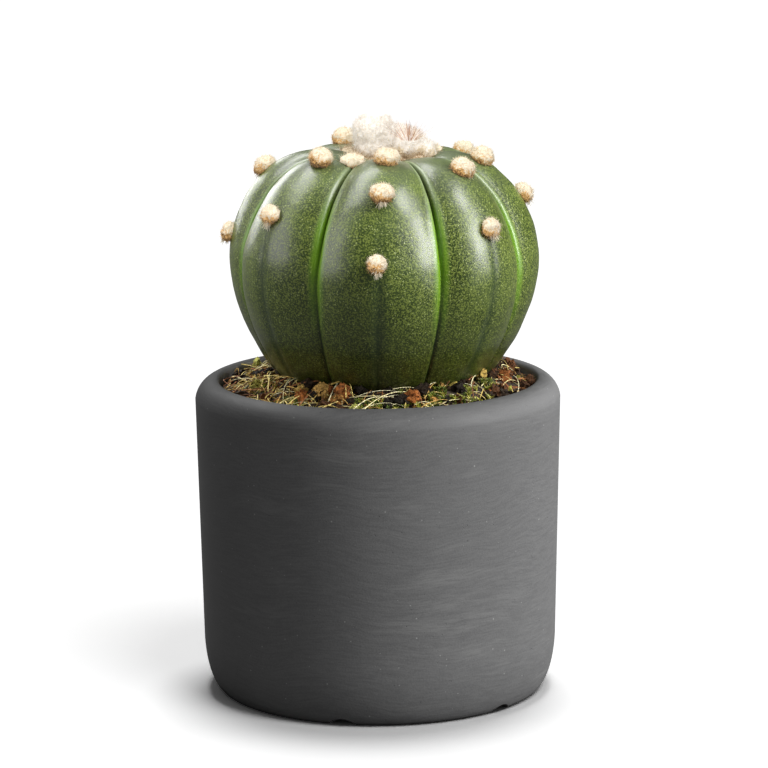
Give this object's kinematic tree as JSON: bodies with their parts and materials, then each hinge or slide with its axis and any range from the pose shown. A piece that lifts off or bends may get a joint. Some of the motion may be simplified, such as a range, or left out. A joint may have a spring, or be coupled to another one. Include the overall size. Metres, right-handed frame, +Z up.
{
  "type": "potted cactus",
  "caption": "Globe-shaped ribbed cactus with woolly tufts and a woolly crown, standing in potting mix in a plain round clay pot.",
  "frame": {"origin": "middle of the pot's foot, on the surface that it stands on", "axes": "+Z up along the pot's axis, -Y towards the front, +X to the viewer's right, which is the way the plant leans"},
  "size_m": [0.09, 0.09, 0.1436],
  "materials": {
    "charcoal_clay": "matte",
    "potting_mix": "matte",
    "green_skin": "satin",
    "cream_wool": "matte"
  },
  "bodies": {
    "root": {"pot": "charcoal_clay", "soil": "potting_mix", "cactus": "green_skin", "crown_wool": "cream_wool"}
  },
  "joints": []
}
